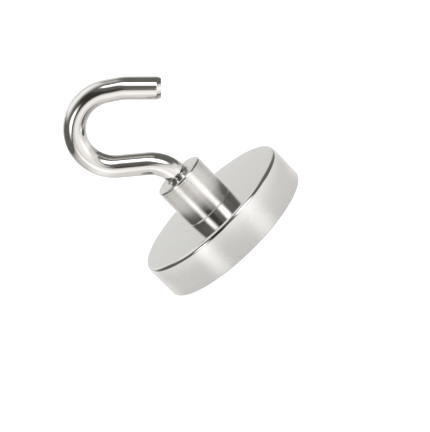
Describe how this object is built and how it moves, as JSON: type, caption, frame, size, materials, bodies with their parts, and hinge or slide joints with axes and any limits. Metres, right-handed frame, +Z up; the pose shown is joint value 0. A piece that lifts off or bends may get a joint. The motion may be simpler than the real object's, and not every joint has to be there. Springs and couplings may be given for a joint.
{
  "type": "hook magnet",
  "caption": "Round steel pot magnet standing on its magnetic face, with a turned cylindrical neck and an open wire hook that screws into it.",
  "frame": {"origin": "centre of the magnetic contact face, on the pot's axis", "axes": "+Z up along the pot's axis, away from the contact face; the hook's wire lies in the XZ plane at rest, with its open end towards +X"},
  "size_m": [0.042, 0.042, 0.0514],
  "materials": {
    "nickel_plated_cup": "bright nickel, satin on the side",
    "nickel_plated_neck": "bright nickel over fine turning marks",
    "nickel_plated_wire": "bright nickel, polished",
    "nickel_plated_magnet": "nickel, faintly dull",
    "epoxy": "cast black epoxy",
    "adhesive": "cured adhesive",
    "thread_lock": "cured thread-locking compound"
  },
  "bodies": {
    "base": {"steel_cup": "nickel_plated_cup", "threaded_neck": "nickel_plated_neck", "disc_magnet": "nickel_plated_magnet", "epoxy_ring": "epoxy", "adhesive_film": "adhesive"},
    "lock_ring": {"thread_lock_ring": "thread_lock"},
    "hook": {"hook": "nickel_plated_wire"}
  },
  "joints": [
    {"name": "hook_lift", "type": "slide", "parent": "base", "child": "lock_ring", "axis": [0, 0, 1], "range_m": [0, 0.00975]},
    {"name": "hook_turn", "type": "hinge", "parent": "lock_ring", "child": "hook", "pos_m": [0, 0, 0.0204], "axis": [0, 0, 1], "range_deg": [0, 3510]}
  ],
  "couplings": [
    {"joint": "hook_lift", "follows": "hook_turn", "m_per_rad": 0.00015915}
  ]
}
